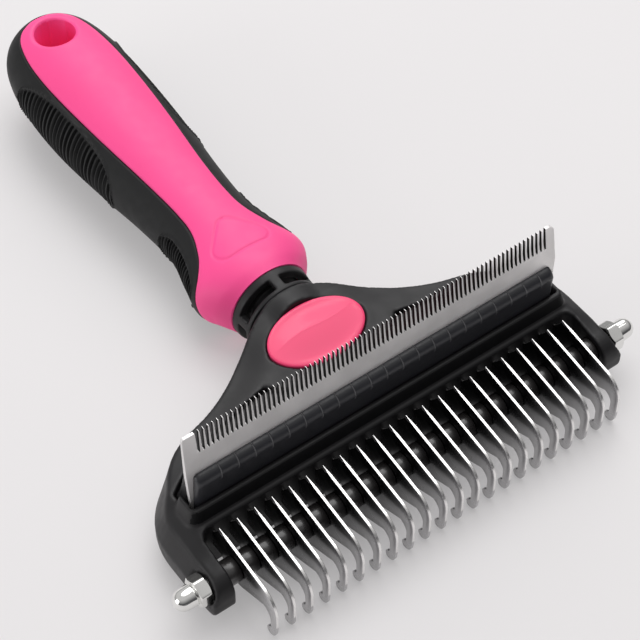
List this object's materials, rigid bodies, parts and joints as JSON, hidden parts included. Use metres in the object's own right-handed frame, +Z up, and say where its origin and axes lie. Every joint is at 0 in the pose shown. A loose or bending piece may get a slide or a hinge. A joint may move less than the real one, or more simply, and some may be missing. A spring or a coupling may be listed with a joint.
{
  "type": "undercoat rake",
  "caption": "T-shaped two-sided pet comb: hooked steel rake blades on an axle below, a fine deshedding comb above, and a soft-grip handle with a hang hole.",
  "frame": {"origin": "centre of the tool's footprint, on the surface that it lies on", "axes": "+X along the head towards the right cap nut, +Y from the rake towards the handle's tail, +Z up from the surface through the comb"},
  "size_m": [0.1258, 0.1734, 0.0405],
  "materials": {
    "head_plastic": "satin moulded black plastic",
    "guard_plastic": "satin black plastic with raised ribs",
    "pink_plastic": "satin pink plastic",
    "grip_rubber": "matt black rubber",
    "badge_gloss": "glossy pink plastic",
    "comb_steel": "satin steel",
    "rake_steel": "ground steel with bright edges",
    "spacer_gloss": "glossy black plastic",
    "steel": "zinc-plated steel",
    "nut_chrome": "polished nickel plate"
  },
  "bodies": {
    "rake": {"head_frame": "head_plastic", "neck_collar": "head_plastic", "tang_pin": "steel", "handle_core": "pink_plastic", "handle_grip": "grip_rubber", "badge": "badge_gloss", "comb_holder": "head_plastic", "comb_guard": "guard_plastic", "comb_blade": "comb_steel", "comb_screws": "steel", "axle_rod": "steel", "end_spacer_left": "spacer_gloss", "end_spacer_right": "spacer_gloss", "rake_blade_01": "rake_steel", "rake_blade_02": "rake_steel", "rake_blade_03": "rake_steel", "rake_blade_04": "rake_steel", "rake_blade_05": "rake_steel", "rake_blade_06": "rake_steel", "rake_blade_07": "rake_steel", "rake_blade_08": "rake_steel", "rake_blade_09": "rake_steel", "rake_blade_10": "rake_steel", "rake_blade_11": "rake_steel", "rake_blade_12": "rake_steel", "rake_blade_13": "rake_steel", "rake_blade_14": "rake_steel", "rake_blade_15": "rake_steel", "rake_blade_16": "rake_steel", "rake_blade_17": "rake_steel", "rake_blade_18": "rake_steel", "rake_blade_19": "rake_steel", "rake_blade_20": "rake_steel", "rake_blade_21": "rake_steel", "rake_blade_22": "rake_steel", "spacer_01": "spacer_gloss", "spacer_02": "spacer_gloss", "spacer_03": "spacer_gloss", "spacer_04": "spacer_gloss", "spacer_05": "spacer_gloss", "spacer_06": "spacer_gloss", "spacer_07": "spacer_gloss", "spacer_08": "spacer_gloss", "spacer_09": "spacer_gloss", "spacer_10": "spacer_gloss", "spacer_11": "spacer_gloss", "spacer_12": "spacer_gloss", "spacer_13": "spacer_gloss", "spacer_14": "spacer_gloss", "spacer_15": "spacer_gloss", "spacer_16": "spacer_gloss", "spacer_17": "spacer_gloss", "spacer_18": "spacer_gloss", "spacer_19": "spacer_gloss", "spacer_20": "spacer_gloss", "spacer_21": "spacer_gloss"},
    "nut_left": {"cap_nut_left": "nut_chrome"},
    "nut_right": {"cap_nut_right": "nut_chrome"}
  },
  "joints": [
    {"name": "nut_left_turn", "type": "hinge", "parent": "rake", "child": "nut_left", "pos_m": [-0.055, -0.07234, 0.0104], "axis": [-1, 0, 0], "continuous": true},
    {"name": "nut_right_turn", "type": "hinge", "parent": "rake", "child": "nut_right", "pos_m": [0.055, -0.07234, 0.0104], "axis": [1, 0, 0], "continuous": true}
  ]
}
